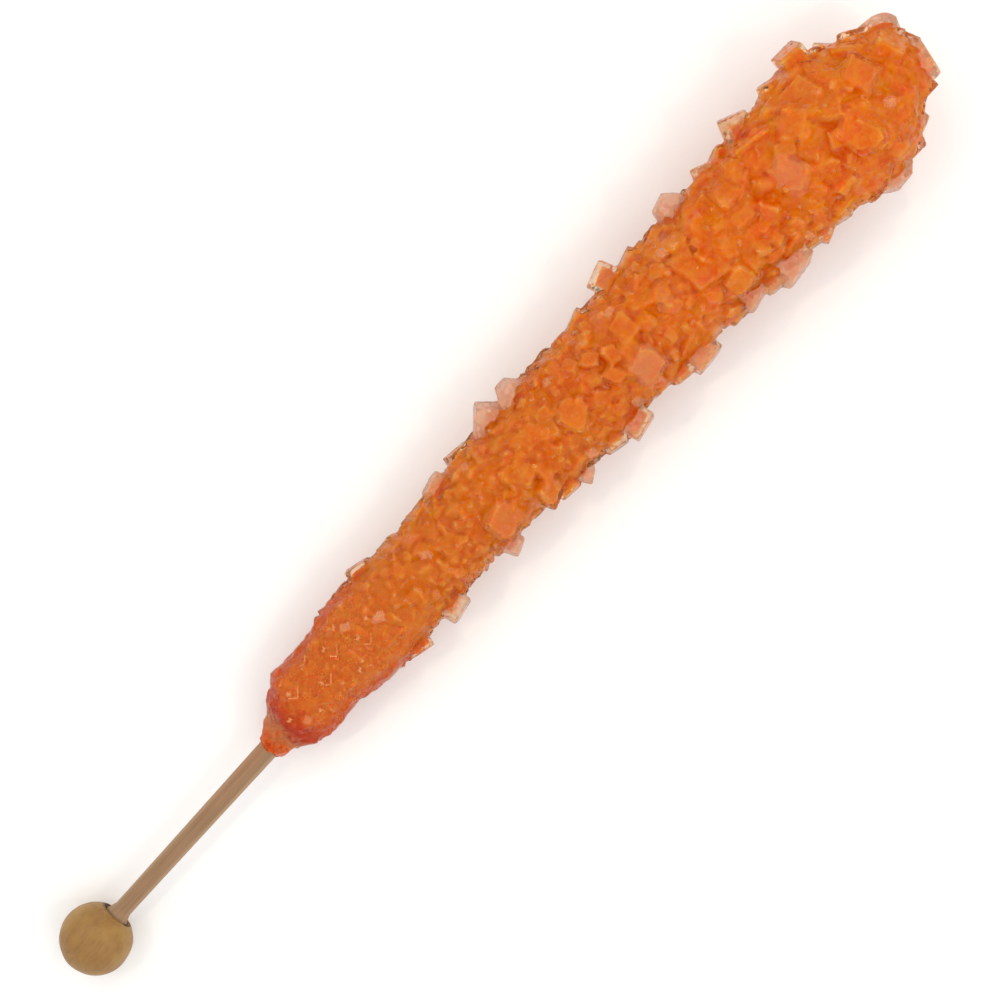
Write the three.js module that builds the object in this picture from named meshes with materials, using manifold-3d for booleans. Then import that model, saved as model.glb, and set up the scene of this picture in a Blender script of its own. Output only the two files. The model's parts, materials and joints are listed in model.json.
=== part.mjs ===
// Rock candy on a ball-ended stick, lying on its side: a drilled wooden ball, the dowel glued into
// it, and the crust of sugar crystals grown along the dowel, thin at the handle and thick at the head.
//
// Millimetres, +Z up. The stick runs along +X from the ball to the head, and rises a little because
// the head is thicker than the ball. The origin is on the surface, under the middle of the whole
// piece. Every piece is first made in the stick's own frame: x along the stick from the ball's
// centre, z up, y to the left. "Around" is an angle about the stick, 0 on top and 90 to the left.

import * as THREE from "three";
import { ConvexGeometry } from "three/addons/geometries/ConvexGeometry.js";
import { mergeVertices } from "three/addons/utils/BufferGeometryUtils.js";
import Module from "manifold-3d";

const wasm = await Module();
wasm.setup();

// ---- Driving dimensions ----

const ball = { diameter: 11.1, flatDepth: 0.12, mouthWidth: 5.2, mouthDepth: 0.9, socketDepth: 7.6 };

const dowel = {
  ballEndWidth: 2.76, // bare wood by the ball
  candyEndWidth: 3.2, // swollen by syrup where the candy starts
  swollenFrom: 8,
  swollenBy: 38,
  shoulderWidth: 3.9, // the fillet of glue and raised fibres at the ball
  shoulderLength: 1.5,
  headEnd: 168, // the far end, inside the candy
};

const gap = 0.3; // between pieces that touch
const grid = 0.01; // the step that the candy's corners are rounded to
const roundSides = 24;
const headHeight = { along: 166, height: 12.1 }; // how high the stick lies at the head

// The candy's outline: how far along the stick, the radius out to the crystals' tips, and how far
// the candy's middle drifts to the left of the stick.
const outline = [
  [39.4, 2.3, 0.0],
  [42.0, 3.2, 0.0],
  [44.6, 5.2, 0.3],
  [48.0, 6.5, 0.9],
  [54.0, 6.4, 0.9],
  [60.0, 7.5, 0.9],
  [66.0, 7.7, 0.8],
  [76.0, 7.1, 1.0],
  [90.0, 7.9, 1.3],
  [104.0, 8.6, 1.2],
  [120.0, 8.9, 1.0],
  [136.0, 9.7, 0.7],
  [150.0, 10.4, 0.5],
  [160.0, 11.7, 0.2],
  [168.0, 12.5, -0.4],
  [173.0, 10.1, -0.8],
  [178.0, 7.4, -0.2],
  [181.0, 4.8, 0.2],
  [182.2, 0.0, 0.4],
];

const crust = {
  seed: 20,
  smallest: 2.9, // a crystal's size at the handle end
  largest: 5.6, // and at the head
  spread: 0.5, // how far sizes stray from that, as a share
  spacing: 1.26, // from one crystal to the next, as a share of its size
  sunk: 0.14, // how far the tips stay inside the outline, as a share of the size
  leanMost: 38, // degrees off the outward direction
  blockShare: 0.7, // the rest are prisms with two corners cut away
  elbowRoom: 0.36, // how near a standout another crystal may be, as a share of both sizes
  coreDepth: 0.4, // the core's surface under the tips, as a share of the size
  coreLeast: 0.6, // but never less than this share of the radius
  coreSides: 12,
};

const betaAngle = 103.5; // sugar's monoclinic angle, in degrees
const goldenTurn = 137.508; // degrees from one crystal to the next around the stick

// Crystals that stand out: how far along and around, the reach of the tip from the stick's centre,
// the size across, deep and out, the lean towards the head, the turn about its own length and the habit.
const standouts = [
  // left side, from the handle to the head
  { along: 68.6, around: 84, reach: 8.9, size: [4.0, 3.6, 5.0], lean: 16, turn: 8, habit: "block" },
  { along: 85.2, around: 76, reach: 9.2, size: [4.2, 4.0, 4.8], lean: -10, turn: 20, habit: "prism" },
  { along: 91.4, around: 84, reach: 9.5, size: [4.6, 3.8, 5.0], lean: 10, turn: 30, habit: "block" },
  { along: 96.4, around: 80, reach: 10.3, size: [5.2, 5.0, 7.0], lean: -42, turn: 0, habit: "prism" },
  { along: 101.6, around: 76, reach: 10.8, size: [4.6, 5.0, 6.5], lean: -38, turn: 10, habit: "ridge" },
  { along: 109.3, around: 86, reach: 8.9, size: [2.6, 2.6, 4.2], lean: 30, turn: 20, habit: "prism" },
  { along: 117.0, around: 84, reach: 9.6, size: [4.4, 4.0, 5.5], lean: -20, turn: 0, habit: "prism" },
  { along: 124.6, around: 88, reach: 12.0, size: [4.8, 4.8, 7.0], lean: -18, turn: 12, habit: "block" },
  { along: 129.2, around: 82, reach: 10.2, size: [3.8, 4.0, 6.0], lean: -18, turn: 0, habit: "prism" },
  { along: 139.7, around: 80, reach: 12.4, size: [4.9, 4.6, 6.5], lean: 8, turn: 16, habit: "ridge" },
  { along: 147.2, around: 84, reach: 10.9, size: [3.4, 4.4, 5.5], lean: 24, turn: 0, habit: "prism" },
  { along: 155.6, around: 82, reach: 12.6, size: [4.8, 5.0, 6.5], lean: 24, turn: 6, habit: "block" },
  { along: 163.6, around: 80, reach: 11.7, size: [5.6, 5.0, 6.5], lean: 18, turn: 0, habit: "prism" },
  { along: 167.8, around: 74, reach: 13.4, size: [4.6, 5.4, 7.0], lean: 6, turn: 14, habit: "block" },
  // the head's end
  { along: 182.8, around: 86, reach: 3.5, size: [5.8, 5.2, 10.6], lean: 98, turn: 0, habit: "ridge" },
  { along: 181.9, around: -58, reach: 4.2, size: [5.2, 5.0, 7.4], lean: 72, turn: 10, habit: "prism" },
  { along: 179.6, around: 170, reach: 4.8, size: [5.4, 5.4, 7.6], lean: 66, turn: 20, habit: "block" },
  { along: 179.4, around: 20, reach: 6.6, size: [5.0, 4.6, 6.0], lean: 52, turn: 30, habit: "prism" },
  // right side, from the head to the handle
  { along: 172.8, around: -84, reach: 10.4, size: [5.0, 4.8, 6.0], lean: 18, turn: 0, habit: "prism" },
  { along: 165.9, around: -88, reach: 13.5, size: [6.6, 5.0, 9.0], lean: 4, turn: 6, habit: "ridge" },
  { along: 158.4, around: -76, reach: 10.3, size: [5.0, 5.0, 6.0], lean: 0, turn: 20, habit: "prism" },
  { along: 153.2, around: -84, reach: 10.5, size: [3.6, 3.6, 5.0], lean: 22, turn: 10, habit: "block" },
  { along: 149.8, around: -84, reach: 9.9, size: [3.8, 3.6, 5.0], lean: -10, turn: 0, habit: "prism" },
  { along: 145.6, around: -80, reach: 11.1, size: [5.4, 5.0, 7.0], lean: 6, turn: 0, habit: "block" },
  { along: 141.6, around: -82, reach: 10.2, size: [3.8, 3.6, 5.0], lean: -8, turn: 24, habit: "prism" },
  { along: 138.2, around: -78, reach: 9.4, size: [3.9, 3.8, 5.0], lean: 12, turn: 8, habit: "block" },
  { along: 134.8, around: -86, reach: 9.0, size: [3.6, 3.4, 5.0], lean: 8, turn: 30, habit: "block" },
  { along: 126.9, around: -84, reach: 10.0, size: [5.0, 4.8, 6.2], lean: 4, turn: 0, habit: "prism" },
  { along: 122.6, around: -86, reach: 9.0, size: [3.6, 3.8, 5.0], lean: -8, turn: 16, habit: "block" },
  { along: 113.0, around: -84, reach: 9.6, size: [4.8, 4.4, 5.6], lean: 10, turn: 12, habit: "block" },
  { along: 108.2, around: -82, reach: 8.6, size: [3.8, 4.0, 5.0], lean: -12, turn: 0, habit: "prism" },
  { along: 102.4, around: -88, reach: 8.6, size: [2.2, 2.6, 4.4], lean: 30, turn: 0, habit: "block" },
  { along: 98.4, around: -82, reach: 7.9, size: [3.8, 3.4, 4.6], lean: -6, turn: 14, habit: "prism" },
  { along: 87.2, around: -84, reach: 7.8, size: [2.8, 3.0, 4.0], lean: 20, turn: 0, habit: "block" },
  { along: 74.2, around: -84, reach: 7.8, size: [4.6, 4.2, 5.2], lean: 10, turn: 6, habit: "prism" },
  { along: 65.6, around: -86, reach: 7.4, size: [4.0, 4.0, 4.6], lean: -14, turn: 0, habit: "prism" },
  { along: 60.6, around: -82, reach: 6.4, size: [3.2, 2.8, 4.0], lean: 0, turn: 0, habit: "block" },
  // broad faces on top
  { along: 172.0, around: 14, reach: 11.4, size: [5.2, 5.4, 6.0], lean: 22, turn: 24, habit: "block" },
  { along: 165.6, around: -14, reach: 12.6, size: [6.6, 6.4, 6.0], lean: 9, turn: 22, habit: "prism" },
  { along: 160.0, around: 26, reach: 12.0, size: [5.8, 5.6, 6.0], lean: -14, turn: 40, habit: "prism" },
  { along: 154.0, around: 0, reach: 11.1, size: [5.4, 5.8, 6.0], lean: -10, turn: 30, habit: "prism" },
  { along: 154.2, around: 46, reach: 11.7, size: [6.6, 1.6, 6.0], lean: 4, turn: -14, habit: "block" },
  { along: 146.4, around: 34, reach: 10.4, size: [5.0, 4.6, 5.6], lean: 16, turn: 10, habit: "prism" },
  { along: 137.8, around: -34, reach: 10.0, size: [4.8, 4.4, 5.4], lean: -16, turn: 24, habit: "prism" },
  { along: 129.4, around: 8, reach: 9.8, size: [5.4, 3.6, 5.0], lean: 12, turn: 48, habit: "prism" },
  { along: 119.6, around: -24, reach: 9.2, size: [5.4, 5.2, 5.0], lean: -12, turn: 18, habit: "prism" },
  { along: 107.4, around: 0, reach: 9.0, size: [5.0, 5.0, 5.0], lean: 12, turn: 34, habit: "prism" },
  { along: 96.8, around: -44, reach: 8.6, size: [4.2, 4.4, 5.0], lean: 14, turn: 10, habit: "block" },
  { along: 88.8, around: -26, reach: 8.3, size: [5.6, 5.4, 5.0], lean: 8, turn: 16, habit: "prism" },
  // underneath, where it rests
  { along: 161.0, around: 158, reach: 12.6, size: [5.8, 5.6, 6.5], lean: 0, turn: 12, habit: "prism" },
  { along: 168.0, around: -156, reach: 13.1, size: [5.6, 5.8, 6.5], lean: 4, turn: 0, habit: "ridge" },
];

// ---- Small tools ----

const radians = THREE.MathUtils.degToRad;
const alongX = new THREE.Vector3(1, 0, 0);
const alongY = new THREE.Vector3(0, 1, 0);
const alongZ = new THREE.Vector3(0, 0, 1);
const spun = (axis, degrees) => new THREE.Quaternion().setFromAxisAngle(axis, radians(degrees));

// A plain repeatable draw of numbers from 0 to 1.
function seededDraw(seed) {
  let state = seed;
  return () => {
    state = (Math.imul(state, 1664525) + 1013904223) >>> 0;
    return state / 2 ** 32;
  };
}

function solidFrom(geometry) {
  const bare = geometry.clone();
  bare.deleteAttribute("normal");
  bare.deleteAttribute("uv");
  const welded = mergeVertices(bare, 1e-4);
  return new wasm.Manifold(
    new wasm.Mesh({
      numProp: 3,
      vertProperties: welded.attributes.position.array,
      triVerts: new Uint32Array(welded.index.array),
    }),
  );
}

function geometryFrom(solid) {
  const mesh = solid.getMesh();
  const geometry = new THREE.BufferGeometry();
  geometry.setAttribute("position", new THREE.BufferAttribute(mesh.vertProperties, 3));
  geometry.setIndex(new THREE.BufferAttribute(mesh.triVerts, 1));
  const flat = geometry.toNonIndexed();
  flat.computeVertexNormals();
  return flat;
}

// The outer shell alone: a hollow sealed inside is filled, and a loose scrap is dropped.
function oneBody(solid) {
  return solid.decompose().sort((a, b) => b.volume() - a.volume())[0];
}

// The same solid with its corners moved to a fine grid, so that no two are too close to tell apart.
function onFineGrid(solid) {
  const { vertProperties, triVerts } = solid.getMesh();
  const corners = new Map(); // from a place on the grid to a corner's number
  const places = [];
  const cornerAt = [];
  for (let i = 0; i < vertProperties.length; i += 3) {
    const place = Array.from(vertProperties.subarray(i, i + 3), (value) => Math.round(value / grid));
    const key = place.join(" ");
    if (!corners.has(key)) {
      corners.set(key, corners.size);
      places.push(...place.map((step) => step * grid));
    }
    cornerAt.push(corners.get(key));
  }
  const triangles = [];
  for (let i = 0; i < triVerts.length; i += 3) {
    const [a, b, c] = Array.from(triVerts.subarray(i, i + 3), (corner) => cornerAt[corner]);
    if (a !== b && b !== c && c !== a) triangles.push(a, b, c);
  }
  return new wasm.Manifold(
    new wasm.Mesh({
      numProp: 3,
      vertProperties: new Float32Array(places),
      triVerts: new Uint32Array(triangles),
    }),
  );
}

// A turned piece about the stick's line, from [radius, along] pairs that start and end on the axis.
function turned(profile, sides) {
  const points = profile.map(([radius, along]) => new THREE.Vector2(radius, along));
  return new THREE.LatheGeometry(points, sides).rotateZ(-Math.PI / 2);
}

// How the piece lies on the surface: tipped up so that the ball and the head both touch it.
const lying = new THREE.Group();
const ballHeight = ball.diameter / 2 - ball.flatDepth;
const rise = Math.asin((headHeight.height - ballHeight) / headHeight.along);
lying.rotation.y = -rise;
lying.position.z = ballHeight;
lying.updateMatrix();

// Everything under the surface, in the stick's frame, to cut the flat spots that the piece rests on.
function belowSurface() {
  const size = 400;
  const block = new THREE.BoxGeometry(size, size, size).translate(0, 0, -size / 2);
  return solidFrom(block.applyMatrix4(lying.matrix.clone().invert()));
}

// ---- The ball ----

function ballGeometry() {
  const radius = ball.diameter / 2;
  const mouthRadius = ball.mouthWidth / 2;
  const mouthAngle = Math.asin(mouthRadius / radius);
  const mouthAlong = Math.cos(mouthAngle) * radius;
  const socketRadius = dowel.ballEndWidth / 2 + gap;
  const arcSteps = 16;
  const profile = [];
  for (let i = 0; i <= arcSteps; i++) {
    const angle = Math.PI - (i / arcSteps) * (Math.PI - mouthAngle);
    profile.push([i === 0 ? 0 : Math.sin(angle) * radius, Math.cos(angle) * radius]);
  }
  profile.push([socketRadius + 0.5, mouthAlong - ball.mouthDepth]);
  profile.push([socketRadius, mouthAlong - ball.mouthDepth - 0.2]);
  profile.push([socketRadius, radius - ball.socketDepth]);
  profile.push([0, radius - ball.socketDepth]);
  return geometryFrom(solidFrom(turned(profile, roundSides)).subtract(belowSurface()));
}

// ---- The dowel ----

function dowelGeometry() {
  const radius = ball.diameter / 2;
  const foot = radius - ball.socketDepth + gap;
  const thin = dowel.ballEndWidth / 2;
  const thick = dowel.candyEndWidth / 2;
  const shoulderFoot = radius - ball.mouthDepth;
  const edge = 0.25; // the broken edge at each end
  return turned(
    [
      [0, foot],
      [thin - edge, foot],
      [thin, foot + edge],
      [thin, shoulderFoot - 0.4],
      [dowel.shoulderWidth / 2, shoulderFoot],
      [thin + 0.2, shoulderFoot + dowel.shoulderLength * 0.6],
      [thin, shoulderFoot + dowel.shoulderLength],
      [thin, dowel.swollenFrom],
      [thick, dowel.swollenBy],
      [thick, dowel.headEnd - edge],
      [thick - edge, dowel.headEnd],
      [0, dowel.headEnd],
    ],
    roundSides,
  );
}

// ---- The candy ----

// A sugar crystal centred on the origin: a sheared block, or a prism with two corners cut away, or
// a prism whose ends rise to ridges. Its length runs along z.
function crystalPoints([across, deep, long], habit) {
  const x = across / 2;
  const y = deep / 2;
  const z = long / 2;
  const cut = 0.55;
  const block = [[x, y], [-x, y], [-x, -y], [x, -y]];
  const prism = [[x, y * cut], [x * cut, y], [-x, y], [-x, -y * cut], [-x * cut, -y], [x, -y]];
  const section = habit === "block" ? block : prism;
  const shoulder = habit === "ridge" ? z * 0.62 : z;
  const points = [];
  for (const end of [-1, 1]) {
    for (const [px, py] of section) points.push([px, py, end * shoulder]);
    if (habit === "ridge") points.push([x * 0.3, y * 0.9, end * z], [-x * 0.3, -y * 0.9, end * z]);
  }
  const slant = Math.tan(radians(betaAngle - 90));
  return points.map(([px, py, pz]) => new THREE.Vector3(px + py * slant, py, pz));
}

function crystalSolid({ place, spin, size, habit }) {
  const corners = crystalPoints(size, habit).map((point) => point.applyQuaternion(spin).add(place));
  return solidFrom(new ConvexGeometry(corners));
}

// The outline's radius, drift and slope at a distance along the stick.
function outlineAt(along) {
  let i = 1;
  while (i < outline.length - 1 && outline[i][0] < along) i++;
  const [fromAlong, fromRadius, fromDrift] = outline[i - 1];
  const [toAlong, toRadius, toDrift] = outline[i];
  const share = THREE.MathUtils.clamp((along - fromAlong) / (toAlong - fromAlong), 0, 1);
  return {
    radius: THREE.MathUtils.lerp(fromRadius, toRadius, share),
    drift: THREE.MathUtils.lerp(fromDrift, toDrift, share),
    slope: (toRadius - fromRadius) / (toAlong - fromAlong),
  };
}

function crystalSizeAt(along) {
  const first = outline[0][0];
  const last = outline[outline.length - 1][0];
  return THREE.MathUtils.lerp(crust.smallest, crust.largest, (along - first) / (last - first));
}

// Turns a crystal's length outwards at an angle around the stick, then leans and turns it.
function crystalTurn(around, lean, swing, turn) {
  return spun(alongX, -around)
    .multiply(spun(alongZ, swing))
    .multiply(spun(alongY, lean))
    .multiply(spun(alongZ, turn));
}

function standoutCrystal({ along, around, reach, size, lean, turn, habit }) {
  const spin = crystalTurn(around, lean, 0, turn);
  const outward = new THREE.Vector3(0, Math.sin(radians(around)), Math.cos(radians(around)));
  const leaning = alongZ.clone().applyQuaternion(spin);
  const tip = outward.multiplyScalar(reach).setX(along);
  return { place: tip.addScaledVector(leaning, -size[2] / 2), spin, size, habit };
}

// The length of the outline's stretch that ends at a row.
function stretchTo(row) {
  const [fromAlong, fromRadius] = outline[row - 1];
  const [toAlong, toRadius] = outline[row];
  return Math.hypot(toAlong - fromAlong, toRadius - fromRadius);
}

// The crust between the standouts: crystals a golden turn apart, each step as long as its size asks.
function scatteredCrystals(taken) {
  const draw = seededDraw(crust.seed);
  const crystals = [];
  let row = 1;
  let walked = 0; // how far along the stretch that ends at this row
  let around = 0;
  while (row < outline.length) {
    const along = THREE.MathUtils.lerp(outline[row - 1][0], outline[row][0], walked / stretchTo(row));
    const { radius, drift, slope } = outlineAt(along);
    const middling = crystalSizeAt(along);
    const size = middling * (1 + crust.spread * (draw() - 0.5));
    const across = size * (0.75 + 0.4 * draw());
    const deep = size * (0.7 + 0.4 * draw());
    const long = size * (1 + 0.3 * draw());
    const lean = crust.leanMost * draw();
    const swing = 360 * draw();
    const turn = 360 * draw();
    const habit = draw() < crust.blockShare ? "block" : "prism";
    const sunk = long / 2 + size * crust.sunk * (0.4 + 2 * draw());
    const facing = crystalTurn(around, THREE.MathUtils.radToDeg(Math.atan(-slope)), 0, 0);
    const outward = alongZ.clone().applyQuaternion(facing);
    const spin = facing.multiply(crystalTurn(0, lean, swing, turn));
    const place = new THREE.Vector3(along, Math.sin(radians(around)) * radius + drift, 0)
      .setZ(Math.cos(radians(around)) * radius)
      .addScaledVector(outward, -sunk);
    const roomBy = (other) => other.place.distanceTo(place) - crust.elbowRoom * (other.size[0] + size);
    if (taken.every((other) => roomBy(other) > 0)) {
      crystals.push({ place, spin, size: [across, deep, long], habit });
    }
    around += goldenTurn;
    walked += (crust.spacing * middling) ** 2 / (2 * Math.PI * Math.max(radius, middling / 2));
    while (row < outline.length && walked > stretchTo(row)) {
      walked -= stretchTo(row);
      row++;
    }
  }
  return crystals;
}

// The packed sugar under the crystals' tips.
function coreGeometry() {
  const profile = outline.map(([along, radius]) => {
    const depth = crystalSizeAt(along) * crust.coreDepth;
    return [Math.max(radius - depth, radius * crust.coreLeast), along];
  });
  profile[profile.length - 1][0] = 0;
  profile.unshift([0, outline[0][0]]);
  const core = turned(profile, crust.coreSides);
  const position = core.attributes.position;
  for (let i = 0; i < position.count; i++) {
    position.setY(i, position.getY(i) + outlineAt(position.getX(i)).drift);
  }
  return core;
}

function candyGeometry() {
  const standing = standouts.map(standoutCrystal);
  const crystals = [...standing, ...scatteredCrystals(standing)].map(crystalSolid);
  const lump = wasm.Manifold.union([solidFrom(coreGeometry()), ...crystals]);
  const boreRadius = dowel.candyEndWidth / 2 + gap;
  const bore = turned(
    [
      [0, outline[0][0] - 20],
      [boreRadius, outline[0][0] - 20],
      [boreRadius, dowel.headEnd + gap],
      [0, dowel.headEnd + gap],
    ],
    roundSides / 2,
  );
  const candy = oneBody(onFineGrid(oneBody(lump.subtract(solidFrom(bore)))).subtract(belowSurface()));
  return geometryFrom(candy);
}

// ---- Assembly ----

const beech = new THREE.MeshStandardMaterial({ color: 0xa5805f, roughness: 0.75, metalness: 0 });
const ballWood = new THREE.MeshStandardMaterial({ color: 0xa9814b, roughness: 0.6, metalness: 0 });
const sugar = new THREE.MeshStandardMaterial({ color: 0xd97226, roughness: 0.25, metalness: 0 });

function piece(name, geometry, material) {
  const mesh = new THREE.Mesh(geometry, material);
  mesh.name = name;
  lying.add(mesh);
  return mesh;
}

piece("ball", ballGeometry(), ballWood);
piece("dowel", dowelGeometry(), beech);
piece("candy", candyGeometry(), sugar);

const rockCandy = new THREE.Group();
rockCandy.add(lying);
const box = new THREE.Box3().setFromObject(rockCandy, true);
lying.position.x -= (box.min.x + box.max.x) / 2;
lying.position.y -= (box.min.y + box.max.y) / 2;

export default rockCandy;
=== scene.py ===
import json
import math

import bmesh
import bpy
from mathutils import Matrix, Vector, noise
from mathutils.bvhtree import BVHTree

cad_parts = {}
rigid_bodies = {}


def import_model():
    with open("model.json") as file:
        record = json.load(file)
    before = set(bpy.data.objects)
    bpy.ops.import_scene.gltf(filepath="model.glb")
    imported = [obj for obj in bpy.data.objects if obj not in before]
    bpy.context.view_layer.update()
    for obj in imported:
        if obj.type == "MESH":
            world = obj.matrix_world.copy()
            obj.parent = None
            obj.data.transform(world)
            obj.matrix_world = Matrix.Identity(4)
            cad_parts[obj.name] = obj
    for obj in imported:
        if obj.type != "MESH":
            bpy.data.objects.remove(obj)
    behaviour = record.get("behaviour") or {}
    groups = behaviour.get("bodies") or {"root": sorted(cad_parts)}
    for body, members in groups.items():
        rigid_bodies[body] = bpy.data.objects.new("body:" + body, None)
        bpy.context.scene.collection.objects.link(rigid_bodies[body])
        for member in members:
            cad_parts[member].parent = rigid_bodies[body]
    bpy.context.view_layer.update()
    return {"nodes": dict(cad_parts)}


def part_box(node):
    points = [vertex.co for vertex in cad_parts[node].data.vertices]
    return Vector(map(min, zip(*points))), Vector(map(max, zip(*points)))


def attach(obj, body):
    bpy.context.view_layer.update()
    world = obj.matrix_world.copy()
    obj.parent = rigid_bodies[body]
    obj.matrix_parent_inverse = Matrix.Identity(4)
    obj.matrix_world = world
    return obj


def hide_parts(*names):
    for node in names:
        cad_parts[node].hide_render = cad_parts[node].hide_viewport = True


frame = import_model()
print("frame loaded:", ", ".join(sorted(frame["nodes"])))

# Lengths in the dictionaries are millimetres in the stick's own frame: x along the stick from the
# ball's centre, y to the left, z up. Around is an angle about the stick, 0 on top, 90 to the left.
mm = 0.001

lie = {"ballHeight": 5.43, "headAlong": 166.0, "headHeight": 12.1}  # how high the stick lies

ballForm = {
    "diameter": 11.1,
    "mouthWidth": 5.2,
    "mouthDepth": 0.9,
    "lipRound": 0.16,
    "socketWidth": 3.36,
    "socketDepth": 7.6,
    "socketRound": 0.5,  # how far the mouth's floor reaches out from the socket
    "socketChamfer": 0.2,
    "steps": 96,
    "lumps": 0.08,  # how far the turned wood strays from a true ball
    "lumpScale": 0.35,
}

rise = math.asin((lie["headHeight"] - lie["ballHeight"]) / lie["headAlong"])
ballLow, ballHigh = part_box("ball")
ballCentre = Vector((
    ballLow.x + ballForm["diameter"] / 2 * mm,
    (ballLow.y + ballHigh.y) / 2,
    lie["ballHeight"] * mm,
))
stickPlace = Matrix.Translation(ballCentre) @ Matrix.Rotation(-rise, 4, "Y")
toRow = stickPlace @ Matrix.Scale(mm, 4)


def seededDraw(seed):
    state = seed

    def draw():
        nonlocal state
        state = (state * 1664525 + 1013904223) % 2**32
        return state / 2**32

    return draw


def meshFrom(bm, name, smooth):
    mesh = bpy.data.meshes.new(name)
    bm.to_mesh(mesh)
    bm.free()
    mesh.polygons.foreach_set("use_smooth", [smooth] * len(mesh.polygons))
    return mesh


def addPiece(name, mesh, nodeName, material):
    piece = bpy.data.objects.new(name, mesh)
    bpy.context.scene.collection.objects.link(piece)
    mesh.materials.clear()
    mesh.materials.append(material)
    mesh.polygons.foreach_set("material_index", [0] * len(mesh.polygons))
    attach(piece, "root")
    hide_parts(nodeName)
    return piece


# A closed turned form about the stick's line. Its corners, (along, radius), start and end on it.
def spunRound(corners, steps):
    bm = bmesh.new()
    verts = [bm.verts.new((along, 0, radius)) for along, radius in corners]
    for first, second in zip(verts, verts[1:]):
        bm.edges.new((first, second))
    bmesh.ops.spin(
        bm, geom=bm.verts[:] + bm.edges[:], cent=(0, 0, 0), axis=(1, 0, 0),
        angle=2 * math.pi, steps=steps, use_merge=True,
    )
    bmesh.ops.remove_doubles(bm, verts=bm.verts[:], dist=1e-4)
    bmesh.ops.recalc_face_normals(bm, faces=bm.faces[:])
    return bm


def offAxis(point):
    return math.hypot(point.y, point.z)


def newMaterial(name):
    material = bpy.data.materials.new(name)
    material.use_nodes = True
    tree = material.node_tree
    tree.nodes.clear()
    output = tree.nodes.new("ShaderNodeOutputMaterial")
    shader = tree.nodes.new("ShaderNodeBsdfPrincipled")
    tree.links.new(shader.outputs["BSDF"], output.inputs["Surface"])
    return material, tree, shader


def addNode(tree, kind, inputs, **settings):
    node = tree.nodes.new(kind)
    for name, value in settings.items():
        setattr(node, name, value)
    for name, value in inputs.items():
        if isinstance(value, bpy.types.NodeSocket):
            tree.links.new(value, node.inputs[name])
        else:
            node.inputs[name].default_value = value
    return node


def combine(tree, operation, first, second=0.0):
    inputs = {0: first, 1: second}
    return addNode(tree, "ShaderNodeMath", inputs, operation=operation).outputs[0]


def times(tree, first, second):
    return combine(tree, "MULTIPLY", first, second)


def plus(tree, first, second):
    return combine(tree, "ADD", first, second)


def vectorMath(tree, operation, *vectors):
    inputs = dict(enumerate(vectors))
    return addNode(tree, "ShaderNodeVectorMath", inputs, operation=operation).outputs


# Stretches the range from low to high to another range, and holds its ends.
def spread(tree, value, low, high, toLow=0.0, toHigh=1.0):
    inputs = {"Value": value, "From Min": low, "From Max": high, "To Min": toLow, "To Max": toHigh}
    return addNode(tree, "ShaderNodeMapRange", inputs).outputs["Result"]


def blend(tree, share, first, second):
    node = tree.nodes.new("ShaderNodeMix")
    node.data_type = "RGBA"
    for index, value in ((0, share), (6, first), (7, second)):
        if isinstance(value, bpy.types.NodeSocket):
            tree.links.new(value, node.inputs[index])
        else:
            node.inputs[index].default_value = value
    return node.outputs[2]


def stored(tree, name):
    return addNode(tree, "ShaderNodeAttribute", {}, attribute_name=name).outputs["Fac"]


# The place in the stick's own frame, in millimetres.
def stickSpace(tree):
    back = stickPlace.inverted()
    return addNode(tree, "ShaderNodeMapping", {
        "Vector": tree.nodes.new("ShaderNodeTexCoord").outputs["Object"],
        "Location": back.translation / mm,
        "Rotation": back.to_euler(),
        "Scale": (1 / mm, 1 / mm, 1 / mm),
    }).outputs["Vector"]


def stretched(tree, place, scale):
    return addNode(tree, "ShaderNodeMapping", {"Vector": place, "Scale": scale}).outputs["Vector"]


def cloud(tree, place, scale, detail=2.0, roughness=0.5, distortion=0.0):
    return addNode(tree, "ShaderNodeTexNoise", {
        "Vector": place, "Scale": scale, "Detail": detail, "Roughness": roughness,
        "Distortion": distortion,
    }).outputs["Fac"]


def bumps(tree, height, strength, depth):
    return addNode(tree, "ShaderNodeBump", {
        "Height": height, "Strength": strength, "Distance": depth * mm,
    }).outputs["Normal"]


def partsOf(tree, place):
    return addNode(tree, "ShaderNodeSeparateXYZ", {"Vector": place}).outputs


# How far a place is from a line beside the stick's own.
def lineDistance(tree, parts, drift):
    across = addNode(tree, "ShaderNodeCombineXYZ", {
        "Y": combine(tree, "SUBTRACT", parts["Y"], drift),
        "Z": parts["Z"],
    }).outputs["Vector"]
    return vectorMath(tree, "LENGTH", across)["Value"]


# A linear colour from screen values of 0 to 255.
def screen(red, green, blue):
    return [((value / 255 + 0.055) / 1.055) ** 2.4 for value in (red, green, blue)] + [1]


def setLook(shader, settings):
    for name, value in settings.items():
        shader.inputs[name].default_value = value


ballLook = {
    "middle": screen(149, 107, 44),
    "dark": screen(132, 92, 36),
    "pale": screen(158, 119, 52),
    # painted shade: the dark brown in the socket's mouth around the dowel
    "stainAndShade": screen(92, 54, 20),
    "pore": screen(108, 72, 32),
    "mouthShadeDrift": 0.25,  # the painted shade in the mouth sits a little to the left
    "mouthShadeReach": (0.3, -0.15),  # where the painted shade begins and is full, out from the mouth's edge
    "mouthShadeAlong": (2.5, 4.0),
    "finish": {"Coat Weight": 0.1, "Coat Roughness": 0.4},
}


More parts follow.
